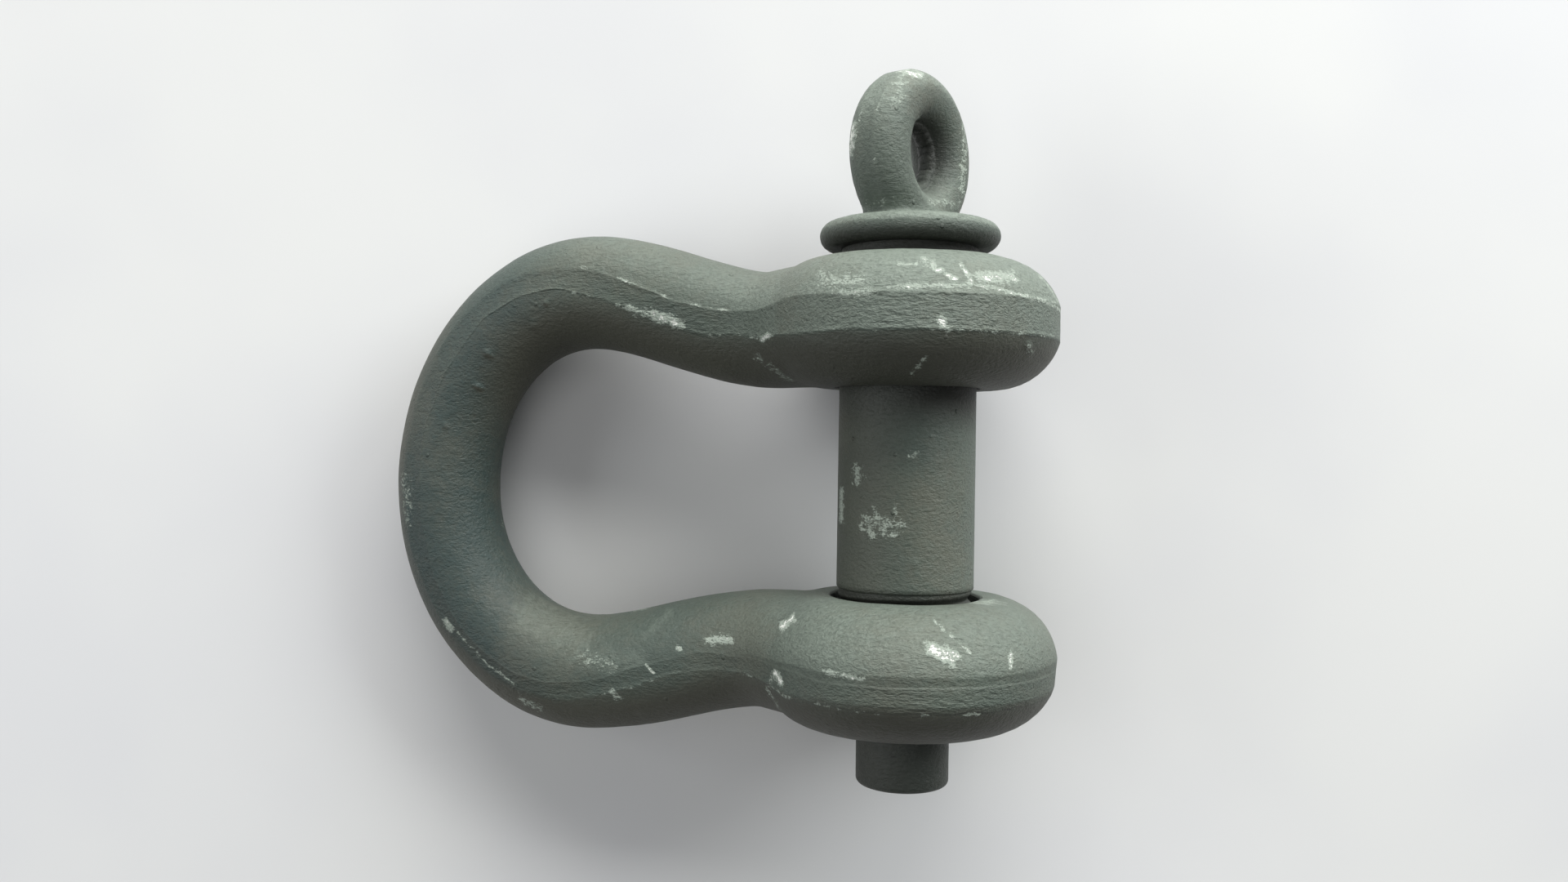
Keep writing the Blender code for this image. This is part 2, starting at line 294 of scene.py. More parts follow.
# Soft boxes: where each stands, its width and height, its power in watts and its colour
SOFT_BOXES = {
    "key_softbox": ((0.20, 2.00, 1.05), (2.0, 1.00), 62.0, (1.0, 1.0, 0.98)),
    "right_softbox": ((1.55, 1.12, 0.95), (1.25, 1.0), 36.0, (0.97, 1.0, 1.0)),
    "left_softbox": ((-1.85, 0.12, 1.05), (1.5, 1.0), 16.0, (0.95, 0.98, 1.0)),
    "top_softbox": ((-0.38, -0.25, 2.75), (2.5, 2.0), 15.0, (1.0, 1.0, 1.0)),
}
STUDIO_AIR = (0.94, 0.97, 1.0, 1.0)
STUDIO_FILL = 0.13
STUDIO_BACKDROP = 0.62


def smooth_step(value, start, end):
    """Goes smoothly from 0 at the start to 1 at the end."""
    x = np.clip((value - start) / (end - start), 0.0, 1.0)
    return x * x * (3 - 2 * x)


def blended(first, second, width):
    """The smaller of two gaps, rounded where they meet, so that two shapes join with a fillet."""
    share = np.clip(0.5 + 0.5 * (second - first) / width, 0.0, 1.0)
    return second * (1 - share) + first * share - width * share * (1 - share)


def noise_at(points, size, seed):
    """Smooth noise from about -1 to 1 at each point, with features of about the given size."""
    shift = Vector((seed * 7.3, seed * 3.1, seed * 5.7))
    return np.array([noise.noise(Vector(point) / size + shift) for point in points])


def add_object(name, points, faces, sharp_angle=40):
    """A mesh object, smooth except at edges sharper than the angle in degrees."""
    mesh = bpy.data.meshes.new(name)
    mesh.from_pydata([tuple(point) for point in points], [], faces)
    form = bmesh.new()
    form.from_mesh(mesh)
    bmesh.ops.recalc_face_normals(form, faces=form.faces)
    form.to_mesh(mesh)
    form.free()
    mesh.shade_smooth()
    mesh.set_sharp_from_angle(angle=math.radians(sharp_angle))
    item = bpy.data.objects.new(name, mesh)
    bpy.context.collection.objects.link(item)
    return item


def paint_attribute(item, name, values):
    """Keeps one number for each point, for the paint to read by name."""
    attribute = item.data.attributes.new(name, "FLOAT", "POINT")
    attribute.data.foreach_set("value", np.asarray(values, dtype=np.float32))


def read_points(item):
    points = np.empty(len(item.data.vertices) * 3)
    item.data.vertices.foreach_get("co", points)
    return points.reshape(-1, 3)


def write_points(item, points):
    item.data.vertices.foreach_set("co", np.asarray(points).ravel())
    item.data.update()


def read_normals(item):
    normals = np.empty(len(item.data.vertices) * 3)
    item.data.vertices.foreach_get("normal", normals)
    return normals.reshape(-1, 3)


def roughen(item, height, size, seed):
    """Moves each point along its normal by smooth noise, for the unevenness of a forging."""
    points = read_points(item)
    normals = read_normals(item)
    write_points(item, points + normals * (height * noise_at(points, size, seed))[:, None])


def bake_placing(item, location, turn=0.0):
    """Turns a piece about Y and moves it, in its mesh, so that its own coordinates are the frame's."""
    item.data.transform(Matrix.Translation(location) @ Matrix.Rotation(turn, 4, "Y"))
    item.data.update()


def marked(item, marks):
    """How strongly the named marks show at each point of the piece's upper side, from 0 to 1."""
    wobble = noise_at(read_points(item), 1.7 * MM, 7)
    points = read_points(item)[:, :2] / MM
    upward = smooth_step(read_normals(item)[:, 2], 0.0, 0.25)
    strongest = np.zeros(len(points))
    for from_x, from_y, to_x, to_y, width, strength in marks.values():
        start = np.array([from_x, from_y])
        run = np.array([to_x, to_y]) - start
        share = np.clip((points - start) @ run / (run @ run), 0, 1)
        distance = np.linalg.norm(points - start - share[:, None] * run, axis=1)
        distance = distance + MARK_WOBBLE * width * wobble
        strongest = np.maximum(strongest, strength * np.exp(-(distance.clip(0) / width) ** 2))
    return strongest * upward


def scuffs(item, marks):
    """How strongly the paint is scuffed: the named marks above, loose patches on the other sides."""
    other_sides = 1 - smooth_step(read_normals(item)[:, 2], 0.0, 0.25)
    patches = smooth_step(noise_at(read_points(item), UNSEEN_WEAR_SIZE, 9), 0.36, 0.7)
    return np.maximum(marked(item, marks), UNSEEN_WEAR * patches * other_sides)


def raise_nibs(item, nibs):
    """Lifts small lumps of grit caught under the paint."""
    lift = NIB_HEIGHT * marked(item, nibs)
    write_points(item, read_points(item) + read_normals(item) * lift[:, None])


def bake_modifiers(item, sharp_angle=40):
    """Keeps the shape that the modifiers give, and drops them."""
    graph = bpy.context.evaluated_depsgraph_get()
    mesh = bpy.data.meshes.new_from_object(item.evaluated_get(graph))
    item.modifiers.clear()
    item.data = mesh
    mesh.shade_smooth()
    mesh.set_sharp_from_angle(angle=math.radians(sharp_angle))


def cut(item, cutter):
    """Cuts one closed solid out of another."""
    modifier = item.modifiers.new("cut", "BOOLEAN")
    modifier.operation = "DIFFERENCE"
    modifier.object = cutter
    modifier.solver = "EXACT"
    bake_modifiers(item)
    bpy.data.objects.remove(cutter, do_unlink=True)


# The bow


def leg_stations(half_width):
    """Centreline of half the bow, from the pin's axis to the crown: out, side and the bar's direction."""
    bend_start = PIN_TO_CROWN - CROWN_DEPTH
    straight = np.linspace(0.0, bend_start, 500)
    neck_side = EAR_MIDDLE - NECK_INSET * smooth_step(straight, NECK_START, NECK_END)
    swell = half_width - EAR_MIDDLE + NECK_INSET
    leg_side = neck_side + swell * smooth_step(straight, LEG_START, bend_start)
    turn = np.linspace(0.0, math.pi / 2, 400)[1:]
    out = np.concatenate([straight, bend_start + CROWN_DEPTH * np.sin(turn)])
    side = np.concatenate([leg_side, half_width * np.cos(turn)])
    run = np.concatenate([[0.0], np.cumsum(np.hypot(np.diff(out), np.diff(side)))])
    in_ear = np.linspace(0.0, EAR_RADIUS, EAR_STATIONS)[:-1]
    places = np.concatenate([in_ear, np.linspace(EAR_RADIUS, run[-1], LEG_STATIONS)])
    centre = np.column_stack([np.interp(places, run, out), np.interp(places, run, side)])
    heading = np.column_stack([
        np.interp(places, run, np.gradient(out, run)),
        np.interp(places, run, np.gradient(side, run))])
    heading /= np.linalg.norm(heading, axis=1)[:, None]
    heading[0] = (1.0, 0.0)
    heading[-1] = (0.0, -1.0)
    return centre, heading, places


def flash_lean(run, side_lean):
    """How far the flash line leans to the outside of the bow, along its bar."""
    turning = NECK_FLASH_LEAN + (CROWN_FLASH_LEAN - NECK_FLASH_LEAN) * smooth_step(run, 62 * MM, 125 * MM)
    own = side_lean * (1 - smooth_step(run, 80 * MM, 120 * MM))
    return turning * smooth_step(run, 44 * MM, 56 * MM) + own


def bow_section(centre):
    """Half thickness of the metal and depth of its trimmed flash at each station."""
    run = centre[..., 0]
    narrowing = smooth_step(run, PIN_TO_CROWN - CROWN_DEPTH, PIN_TO_CROWN)
    bar_radius = LEG_RADIUS + (CROWN_RADIUS - LEG_RADIUS) * narrowing
    in_bar = smooth_step(run, 0.5 * EAR_RADIUS, 1.1 * EAR_RADIUS)
    half_thickness = EAR_THICKNESS / 2 + (bar_radius - EAR_THICKNESS / 2) * in_bar
    flash_cut = EAR_FLASH_CUT + (BAR_FLASH_CUT - EAR_FLASH_CUT) * in_bar
    return bar_radius, half_thickness, flash_cut


def bow_gap(reach, angle, centre, heading, cut_change, side_lean):
    """Gap from the metal to a point at a reach and an angle in the station's own cross-section."""
    across = reach * np.cos(angle)
    up = reach * np.sin(angle)
    run = centre[..., 0]
    out = run + heading[..., 1] * across
    bar_radius, half_thickness, flash_cut = bow_section(centre)
    fillet = 0.01 * MM + FILLET * smooth_step(run, 0.5 * EAR_RADIUS, 0.9 * EAR_RADIUS)
    disc = np.hypot(out, up) - EAR_RADIUS - EAR_FLASH_CUT
    outline = blended(disc, np.abs(up) - bar_radius, fillet)
    rounded = np.hypot(np.maximum(outline + half_thickness, 0.0), across) - half_thickness
    lean = flash_lean(run, side_lean)
    leaning_up = np.abs(up) * np.cos(lean) - across * np.sin(lean)
    leaning_disc = disc - across * np.sin(lean)
    flash = blended(leaning_disc, leaning_up - bar_radius, fillet)
    return np.maximum(rounded, flash + flash_cut * cut_change)


def reach_to_surface(angle, centre, heading, cut_change, side_lean):
    """How far the metal reaches from the centreline, found by halving the search range."""
    low = np.full(np.broadcast_shapes(angle.shape, centre.shape[:-1]), 0.5 * CROWN_RADIUS)
    high = np.full(low.shape, 1.3 * EAR_RADIUS)
    for _ in range(34):
        middle = (low + high) / 2
        inside = bow_gap(middle, angle, centre, heading, cut_change, side_lean) < 0
        low = np.where(inside, middle, low)
        high = np.where(inside, high, middle)
    return (low + high) / 2


def section_angles():
    """Angles round half a cross-section, closest together where the flash line runs."""
    fine = np.linspace(0.0, math.pi, 2000)
    crowding = 1 + 7 * np.exp(-((fine - math.pi / 2) / math.radians(9)) ** 2)
    share = np.concatenate([[0.0], np.cumsum((crowding[1:] + crowding[:-1]) / 2)])
    return np.interp(np.linspace(0, share[-1], SECTION_STEPS + 1), share, fine)


def flash_places(reach, angles, centre, cut_change, side_lean, inner_share):
    """How near each point is to an edge of the trimmed flash, and whether it lies between the edges."""
    _, half_thickness, flash_cut = bow_section(centre)
    cut_depth = flash_cut * cut_change
    band_half = np.sqrt(half_thickness ** 2 - (half_thickness - cut_depth) ** 2)
    across = reach * np.cos(angles)
    lean = flash_lean(centre[..., 0], side_lean)
    across = across * np.cos(lean) + np.abs(reach * np.sin(angles)) * np.sin(lean)
    near_top = np.abs(np.sin(angles)) > 0.5
    shown = np.where(across > 0, inner_share, 1.0) * near_top
    edge = np.exp(-((np.abs(across) - band_half) / (0.6 * MM)) ** 2) * shown
    trimmed = (1 - smooth_step(np.abs(across), band_half - 0.3 * MM, band_half + 0.3 * MM)) * near_top
    return edge, trimmed


def half_bow(angles, half_width, side_cut, side_lean, inner_share, seed):
    """Half of the bar, from the pin's axis to the crown: a ring of points at each station, and its flash."""
    centre, heading, places = leg_stations(half_width)
    wander = noise_at([(place, 0.0, 0.0) for place in places], 9 * MM, seed)
    wander = wander * smooth_step(places, 4 * MM, 14 * MM)
    wander = wander * (1 - smooth_step(places, places[-1] - 12 * MM, places[-1]))
    own_cut = side_cut + (1 - side_cut) * smooth_step(places, places[-1] - 45 * MM, places[-1])
    change = (own_cut * (1 + 0.45 * wander))[:, None]
    centre = centre[:, None, :]
    heading = heading[:, None, :]
    angles = angles[None, :]
    reach = reach_to_surface(angles, centre, heading, change, side_lean)
    across = reach * np.cos(angles)
    out = centre[..., 0] + heading[..., 1] * across
    side = centre[..., 1] - heading[..., 0] * across
    rings = np.stack([-out, side, reach * np.sin(angles)], axis=2)
    return rings, flash_places(reach, angles, centre, change, side_lean, inner_share)


def close_ear(first, around, half, points, faces, places):
    """Carries the end ring half a turn about the pin, so that it closes on itself as a round ear."""
    columns = [[first + step for step in range(half + 1)]]
    for fan in range(1, FAN_STEPS):
        turn = math.pi * fan / FAN_STEPS
        column = [first]
        for step in range(1, half):
            _, side, height = points[first + step]
            column.append(len(points))
            points.append((height * math.sin(turn), side, height * math.cos(turn)))
            for values in places:
                values.append(values[first + step])
        columns.append(column + [first + half])
    columns.append([first] + [first + around - step for step in range(1, half)] + [first + half])
    for before, after in zip(columns, columns[1:]):
        for step in range(half):
            corners = [before[step], before[step + 1], after[step + 1], after[step]]
            faces.append(tuple(dict.fromkeys(corners)))


def bow_mesh():
    """The bow's points, faces and flash places: two halves joined at the crown, and an ear at each end."""
    upper = section_angles()
    angles = np.concatenate([upper, -upper[-2:0:-1]])
    around = len(angles)
    eye_rings, eye_flash = half_bow(angles, EYE_SIDE_HALF_WIDTH, 1.0, 0.0, 1.0, seed=1)
    tapped_rings, tapped_flash = half_bow(
        angles, TAPPED_SIDE_HALF_WIDTH, TAPPED_SIDE_CUT, TAPPED_SIDE_LEAN, TAPPED_SIDE_INNER_WEAR, seed=2)
    tapped_rings = tapped_rings * np.array([1.0, -1.0, 1.0])
    rings = np.concatenate([eye_rings, tapped_rings[-2::-1]])
    points = [tuple(point) for ring in rings for point in ring]
    edge, trimmed = (
        list(np.concatenate([first, second[-2::-1]]).ravel())
        for first, second in zip(eye_flash, tapped_flash))
    faces = []
    for ring in range(len(rings) - 1):
        for step in range(around):
            a = ring * around + step
            b = ring * around + (step + 1) % around
            faces.append((a, a + around, b + around, b))
    for first in (0, (len(rings) - 1) * around):
        close_ear(first, around, len(upper) - 1, points, faces, (edge, trimmed))
    return points, faces, edge, trimmed


def turned_mesh(profile, steps, radius_change=None):
    """Points and faces of a solid turned about Y from (along, radius) pairs, low end first."""
    points = [(0.0, profile[0][0], 0.0)]
    for along, radius in profile:
        for step in range(steps):
            turn = 2 * math.pi * step / steps
            here = radius + (radius_change(along, turn) if radius_change else 0.0)
            points.append((here * math.sin(turn), along, here * math.cos(turn)))
    points.append((0.0, profile[-1][0], 0.0))
    rings = len(profile)
    faces = []
    for step in range(steps):
        after = (step + 1) % steps
        faces.append((0, 1 + step, 1 + after))
        for ring in range(rings - 1):
            a = 1 + ring * steps
            faces.append((a + step, a + steps + step, a + steps + after, a + after))
        last = 1 + (rings - 1) * steps
        faces.append((last + step, len(points) - 1, last + after))
    return points, faces


def mouth(face, inward, radius):
    """Profile points of a hole's rounded mouth, from inside the metal to past its face."""
    points = []
    for step in range(7):
        turn = math.pi / 2 * step / 6
        points.append((
            face + inward * MOUTH_ROUNDING * (1 - math.sin(turn)),
            radius + MOUTH_ROUNDING * (1 - math.cos(turn))))
    points.append((face - inward * 3 * MM, radius + MOUTH_ROUNDING + 2.2 * MM))
    return points


def thread_groove(along, turn):
    """Depth of a right-hand thread's groove, from 0 on the crest to 1 at the root."""
    phase = along / THREAD_PITCH - turn / (2 * math.pi)
    in_turn = abs((phase % 1.0) - 0.5) * 2
    return min(max((in_turn - 0.12) / 0.70, 0.0), 1.0)


def tapped_groove(along, turn):
    """The tapped hole's thread, cut outward from its bore between the counterbore and the outer face."""
    start = -JAW_WIDTH / 2 - COUNTERBORE_DEPTH - 0.5 * MM
    end = -JAW_WIDTH / 2 - EAR_THICKNESS + 2.5 * MM
    fade = min(max((start - along) / MM, 0.0), 1.0) * min(max((along - end) / MM, 0.0), 1.0)
    return TAPPED_DEPTH * fade * (1 - thread_groove(along, turn))


def plain_hole_cutter():
    inner = JAW_WIDTH / 2
    outer = inner + EAR_THICKNESS
    profile = mouth(inner, 1, PLAIN_HOLE_RADIUS)[::-1] + mouth(outer, -1, PLAIN_HOLE_RADIUS)
    return add_object("plain_hole_cutter", *turned_mesh(profile, TURNED_STEPS))


def tapped_hole_cutter():
    inner = -JAW_WIDTH / 2
    outer = inner - EAR_THICKNESS
    step_at = inner - COUNTERBORE_DEPTH
    threaded = np.arange(outer + 1.2 * MM, step_at - 0.3 * MM, THREAD_PITCH / 14)
    profile = mouth(outer, 1, TAPPED_HOLE_RADIUS)[::-1]
    profile += [(along, TAPPED_HOLE_RADIUS) for along in threaded]
    profile += [(step_at, TAPPED_HOLE_RADIUS), (step_at + 0.6 * MM, COUNTERBORE_RADIUS)]
    profile += mouth(inner, -1, COUNTERBORE_RADIUS)
    return add_object("tapped_hole_cutter", *turned_mesh(profile, TURNED_STEPS, tapped_groove))


def paint_flash(item, points, edge, trimmed):
    """Marks the flash's worn edges and its sheared band, fainter round the crown and on the tapped leg."""
    x, side, _ = np.array(points).T
    before_crown = 1 - 0.75 * smooth_step(-x, 85 * MM, 115 * MM)
    tapped_leg = smooth_step(-side, 0.0, 20 * MM) * smooth_step(-x, 30 * MM, 55 * MM)
    paint_attribute(item, "edge_wear", np.array(edge) * before_crown)
    paint_attribute(item, "trimmed", np.array(trimmed) * (1 - 0.6 * tapped_leg * before_crown))


def paint_bow(item, out, side, from_pin):
    """Marks where the bow's paint is scuffed and cool, where it is paler with dust, painted light and painted
    sheens, and where painted shade lies: brown on the sides facing away from the lamps, near black in the
    bores and on the ears' sides facing -Y.
    """
    normals = read_normals(item)
    facing = normals[:, 1]
    in_crown = smooth_step(out, 80 * MM, 118 * MM)
    on_leg = smooth_step(out, 25 * MM, 60 * MM)
    # Painted light: paler where the paint faces +Y, toward the key lamp; the amount differs by side and along
    # the bow
    facing_the_key = 0.08 + 0.92 * smooth_step(facing, -0.35 + 0.25 * on_leg, 0.45 + 0.3 * on_leg)
    by_side = np.where(side > 0, 1.25, 0.72 - 0.42 * on_leg)
    amount = by_side * (1 - 0.5 * smooth_step(out, 5 * MM, 60 * MM)) * (1 - 0.5 * in_crown)
    outside_crown = 0.6 * in_crown * smooth_step(-normals[:, 0], 0.55, 0.9)
    bore = 1 - smooth_step(from_pin, PLAIN_HOLE_RADIUS, PLAIN_HOLE_RADIUS + 2 * MM)
    low_side = smooth_step(-facing, 0.0, 0.6) * (1 - on_leg)
    paint_attribute(item, "scuff", scuffs(item, BOW_MARKS))
    # Paler with dust and painted light, and with the painted sheens
    paint_attribute(item, "dust_and_painted_light", np.minimum(np.maximum(amount * facing_the_key, marked(item, BOW_SHEENS)), 1.0))
    paint_attribute(item, "cool", np.maximum(in_crown, np.where(side < 0, 0.4 * on_leg, 0.0)))
    # Brown painted shade where the paint faces -Y, and on the crown's side facing -X
    paint_attribute(item, "brown", np.maximum(outside_crown, 0.85 * smooth_step(-facing, 0.05, 0.6)))
    # Near-black painted shade in the bores, and lighter painted shade on the ears' sides facing -Y
    paint_attribute(item, "painted_shade", np.maximum(0.8 * bore, 0.4 * low_side))


def bow():
    points, faces, edge, trimmed = bow_mesh()
    item = add_object("bow_forging", points, faces, sharp_angle=60)
    lips = np.array(edge) * np.clip(noise_at(points, 5 * MM, 5) + 0.35, 0, 1)
    write_points(item, read_points(item) + read_normals(item) * (FLASH_LIP * lips)[:, None])
    roughen(item, FORGING_SWELL, 14 * MM, 1)
    roughen(item, FORGING_SWELL / 4, 3.2 * MM, 2)
    paint_flash(item, points, edge, trimmed)
    for cutter in (plain_hole_cutter(), tapped_hole_cutter()):
        cut(item, cutter)
    x, side, z = read_points(item).T
    bake_placing(item, PIN_CENTRE, -TILT)
    raise_nibs(item, BOW_NIBS)
    paint_bow(item, -x, side, np.hypot(x, z))
    return item


# The screw pin


def thread_change(along, turn):
    """The thread cut into the pin, fading out at its shoulder and at its lower end."""
    turn = turn if turn <= math.pi else turn - 2 * math.pi
    below_shoulder = (SHANK_START - along) / THREAD_PITCH
    fade_in = min(max((below_shoulder - 0.12) / 0.8, 0.0), 1.0)
    above_end = 1.0 if along > THREAD_END else 0.0
    return -THREAD_DEPTH * fade_in * above_end * thread_groove(along, turn) if along < SHANK_START else 0.0


def shank_profile():
    """The pin's outline from the pilot tip up to the collar: (along, radius) pairs."""
    profile = []
    for step in range(7):
        turn = math.pi / 2 * step / 6
        profile.append((
            PILOT_END + PILOT_ROUNDING * (1 - math.cos(turn)),
            PILOT_RADIUS - PILOT_ROUNDING * (1 - math.sin(turn))))
    pilot = np.arange(PILOT_END + 2 * PILOT_ROUNDING, THREAD_END, 0.5 * MM)
    profile += [(along, PILOT_RADIUS) for along in pilot]
    profile += [(THREAD_END, PILOT_RADIUS), (THREAD_END + 0.1 * MM, THREAD_RADIUS - 2.6 * MM)]
    chamfer_top = THREAD_END + THREAD_CHAMFER
    threaded = np.arange(THREAD_END + 0.4 * MM, SHANK_START, THREAD_PITCH / 18)
    profile += [(along, THREAD_RADIUS - max(chamfer_top - along, 0.0)) for along in threaded]
    profile += [(SHANK_START, THREAD_RADIUS), (SHANK_START + 0.25 * MM, SHANK_RADIUS - 0.2 * MM)]
    plain = np.arange(SHANK_START + 0.6 * MM, COLLAR_UNDERSIDE - 1 * MM, 1.1 * MM)
    profile += [(along, SHANK_RADIUS) for along in plain]
    return profile + [(COLLAR_UNDERSIDE - 0.05 * MM, SHANK_RADIUS)]


def paint_shank(item, right, along):
    """Marks where the shank's paint is scuffed, and where light and shade are painted on: paler on its right,
    brown on its left, near black by the ears, on the thread and pilot and in its pits.
    """
    # Painted shade: the eye-side ear's shadow on the shank, darker to the right, the thread and pilot, and
    # the shank inside the eye-side ear and under the collar
    by_eye_ear = smooth_step(along, JAW_WIDTH / 2 - 15 * MM, JAW_WIDTH / 2 - 2 * MM)
    by_eye_ear = by_eye_ear * (0.65 + 0.33 * smooth_step(right, -10 * MM, 6 * MM))
    in_tapped_ear = 1 - smooth_step(along, SHANK_START - 1 * MM, SHANK_START + 2 * MM)
    outside_ear = smooth_step(along, JAW_WIDTH / 2, JAW_WIDTH / 2 + 3 * MM)
    painted_shade = np.maximum(by_eye_ear, np.maximum(0.72 * in_tapped_ear, 0.95 * outside_ear))
    paint_attribute(item, "scuff", scuffs(item, SHANK_MARKS))
    # Painted light on the right side, toward a lamp; brown painted shade on the left
    paint_attribute(item, "dust_and_painted_light", 0.05 + 0.32 * smooth_step(right, -4 * MM, 16 * MM))
    paint_attribute(item, "brown", 0.5 * (1 - smooth_step(right, -14 * MM, 2 * MM)))
    paint_attribute(item, "painted_shade", np.maximum(painted_shade, marked(item, PILOT_PITS)))


def pin_shank():
    mesh = turned_mesh(shank_profile(), TURNED_STEPS, thread_change)
    item = add_object("pin_shank_forging", *mesh, sharp_angle=50)
    roughen(item, 0.05 * MM, 11 * MM, 3)
    right, along, _ = read_points(item).T
    bake_placing(item, PIN_CENTRE)
    raise_nibs(item, SHANK_NIBS)
    paint_shank(item, right, along)
    return item


def head_gap(points):
    """Gap from the pin's collar and eye, blended into each other, in the eye's own plane."""
    x, y, z = points.T
    out = np.hypot(x / EYE_HALF_WIDTH, (y - EYE_CENTRE) / EYE_HALF_HEIGHT)
    turn = np.arctan2(x / EYE_HALF_WIDTH, (y - EYE_CENTRE) / EYE_HALF_HEIGHT)
    local = np.hypot(EYE_HALF_WIDTH * np.sin(turn), EYE_HALF_HEIGHT * np.cos(turn))
    in_plane = (out - 1) * local
    bar = np.hypot(in_plane / EYE_BAR_IN_PLANE, z / EYE_BAR_ACROSS) - 1
    bar = bar * (EYE_BAR_IN_PLANE + EYE_BAR_ACROSS) / 2
    trimmed = np.maximum(bar, in_plane - EYE_BAR_IN_PLANE + EYE_BAND_CUT)
    ragged = 0.25 * MM * np.sin(turn * 9 + 1) + 0.2 * MM * np.sin(turn * 23)
    lip = np.maximum(np.abs(z) - EYE_BAND_HALF, -in_plane - EYE_BAR_IN_PLANE - EYE_LIP - ragged)
    lip = np.maximum(lip, in_plane)
    eye = blended(trimmed, lip, 0.5 * MM)
    edge = COLLAR_THICKNESS / 2
    radius = np.hypot(x, z)
    collar = np.hypot(np.maximum(radius - COLLAR_RADIUS + edge, 0), y - COLLAR_UNDERSIDE - edge) - edge
    joined = blended(eye, collar, EYE_FILLET)
    return np.maximum(joined, COLLAR_UNDERSIDE - y)


def slope_of(gap, points):
    """How fast the gap grows along each axis at each point."""
    step = 0.02 * MM
    return np.stack(
        [(gap(points + step * axis) - gap(points - step * axis)) / (2 * step) for axis in np.eye(3)],
        axis=1)


def settle(points, gap, rounds):
    """Moves points onto the surface where the gap is zero."""
    for _ in range(rounds):
        here = gap(points)
        slope = slope_of(gap, points)
        size = np.maximum((slope ** 2).sum(axis=1), 0.2)
        points = points - np.clip(here / size, -1.5 * MM, 1.5 * MM)[:, None] * slope
    return points


def ring_mesh(steps, bar_steps):
    """Points and faces of the eye's oval ring."""
    points = []
    faces = []
    for step in range(steps):
        turn = 2 * math.pi * step / steps
        for bar_step in range(bar_steps):
            bar_turn = 2 * math.pi * bar_step / bar_steps
            grow = EYE_BAR_IN_PLANE * math.cos(bar_turn)
            points.append((
                (EYE_HALF_WIDTH + grow) * math.sin(turn),
                EYE_CENTRE + (EYE_HALF_HEIGHT + grow) * math.cos(turn),
                EYE_BAR_ACROSS * math.sin(bar_turn)))
            a = step * bar_steps + bar_step
            b = step * bar_steps + (bar_step + 1) % bar_steps
            over = ((step + 1) % steps - step) * bar_steps
            faces.append((a, a + over, b + over, b))
    return points, faces


def collar_profile():
    """The collar's half-round rim: (along, radius) pairs."""
    edge = COLLAR_THICKNESS / 2
    profile = []
    for step in range(COLLAR_RIM_STEPS + 1):
        turn = math.pi * step / COLLAR_RIM_STEPS
        profile.append((
            COLLAR_UNDERSIDE + edge * (1 - math.cos(turn)),
            COLLAR_RADIUS - edge + edge * math.sin(turn)))
    return profile


def join_ring(collar):
    """Joins the eye's ring to the collar, and gives both one even grid of faces."""
    ring = add_object("eye_ring", *ring_mesh(EYE_STEPS, EYE_BAR_STEPS))
    union = collar.modifiers.new("eye", "BOOLEAN")
    union.operation = "UNION"
    union.object = ring
    union.solver = "EXACT"
    even = collar.modifiers.new("even_grid", "REMESH")
    even.mode = "VOXEL"
    even.voxel_size = HEAD_VOXEL
    bake_modifiers(collar, sharp_angle=75)
    bpy.data.objects.remove(ring, do_unlink=True)


def even_out(item):
    """Evens the spacing of the points."""
    form = bmesh.new()
    form.from_mesh(item.data)
    bmesh.ops.smooth_vert(
        form, verts=form.verts, factor=0.5, use_axis_x=True, use_axis_y=True, use_axis_z=True)
    form.to_mesh(item.data)
    form.free()


def paint_head_edges(item, x, y, z, out):
    """Marks the wear on the eye's trimmed band and on the collar's rim."""
    on_eye = (np.abs(out - 1) > 0.3) & (y > COLLAR_UNDERSIDE + COLLAR_THICKNESS)
    band_edge = np.exp(-((np.abs(z) - EYE_BAND_HALF) / (0.7 * MM)) ** 2) * on_eye * (out > 1)
    to_rim = (np.hypot(x, z) - COLLAR_RADIUS + 1.5 * MM) / (1.5 * MM)
    rim = np.exp(-to_rim ** 2) * (y > COLLAR_UNDERSIDE + COLLAR_THICKNESS / 2)
    paint_attribute(item, "edge_wear", np.maximum(0.8 * band_edge, 0.45 * rim))


def paint_head(item, y, out):
    """Marks where the head's paint is scuffed, and where light and shade are painted on: paler where it faces
    +Y, near black under the collar and inside the eye.
    """
    underside = 1 - smooth_step(y, COLLAR_UNDERSIDE + 0.5 * MM, COLLAR_UNDERSIDE + 0.75 * COLLAR_THICKNESS)
    in_ring = (1 - smooth_step(out, 0.5, 0.85)) * (y > COLLAR_UNDERSIDE + COLLAR_THICKNESS)
    upper_part = 0.65 + 0.35 * smooth_step(y, EYE_CENTRE - 8 * MM, EYE_CENTRE + 4 * MM)
    paint_attribute(item, "scuff", scuffs(item, HEAD_MARKS))
    # Painted light: paler where the surface faces +Y, toward the key lamp
    paint_attribute(item, "dust_and_painted_light", 0.25 + 0.75 * smooth_step(read_normals(item)[:, 1], 0.0, 0.6))
    # Painted shade on the collar's underside and inside the eye's ring, darkest toward its top
    paint_attribute(item, "painted_shade", 0.97 * np.maximum(underside, upper_part * in_ring))


